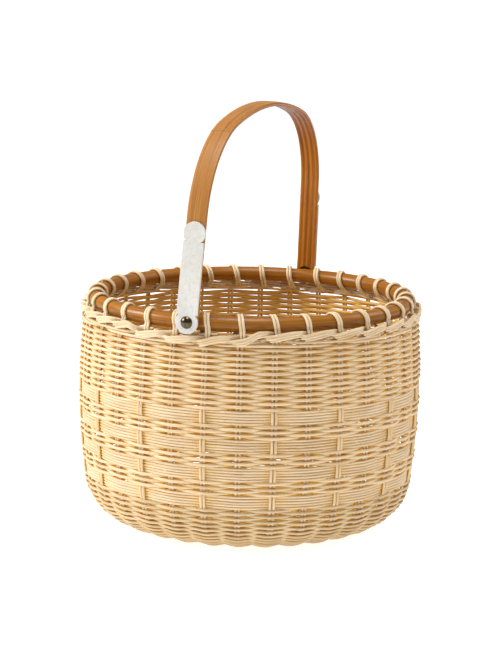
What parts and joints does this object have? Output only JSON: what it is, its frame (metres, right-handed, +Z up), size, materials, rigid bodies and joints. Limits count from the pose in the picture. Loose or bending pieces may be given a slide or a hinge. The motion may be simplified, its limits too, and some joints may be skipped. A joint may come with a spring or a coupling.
{
  "type": "woven basket",
  "caption": "Round woven cane basket with an open mouth, a lashed bamboo rim hoop and a flat bamboo handle that swings on side rivets.",
  "frame": {"origin": "centre of the base on the surface it stands on", "axes": "+Z up, X along the handle hinge from the left ear plate to the right one, Y across the hinge"},
  "size_m": [0.2596, 0.2556, 0.3097],
  "materials": {
    "cane_weave": "natural satin cane",
    "cane_upright": "natural satin cane",
    "cane_lashing": "natural satin cane",
    "hoop_bamboo": "glossy smoked bamboo",
    "handle_bamboo": "satin split bamboo",
    "ear_plate": "polished white with faint beige veins",
    "rivet_bronze": "dark antique"
  },
  "bodies": {
    "basket": {"base_cross_lower": "cane_upright", "base_cross_upper": "cane_upright", "base_weave": "cane_weave", "stakes_shown": "cane_upright", "stakes_covered": "cane_upright", "corner_weave": "cane_weave", "band_1": "cane_weave", "band_2": "cane_weave", "band_3": "cane_weave", "band_4": "cane_weave", "plain_course_1": "cane_weave", "plain_course_2": "cane_weave", "plain_course_3": "cane_weave", "upper_weave": "cane_weave", "border": "cane_weave", "rim_hoop": "hoop_bamboo", "rim_lashing": "cane_lashing", "rivet_left": "rivet_bronze", "rivet_right": "rivet_bronze", "spacer_left": "rivet_bronze", "spacer_right": "rivet_bronze"},
    "handle": {"handle_bow": "handle_bamboo", "plate_left": "ear_plate", "plate_right": "ear_plate"}
  },
  "joints": [
    {"name": "handle_swing", "type": "hinge", "parent": "basket", "child": "handle", "pos_m": [0, 0, 0.1665], "axis": [1, 0, 0], "range_deg": [-92.9, 87.1]}
  ]
}
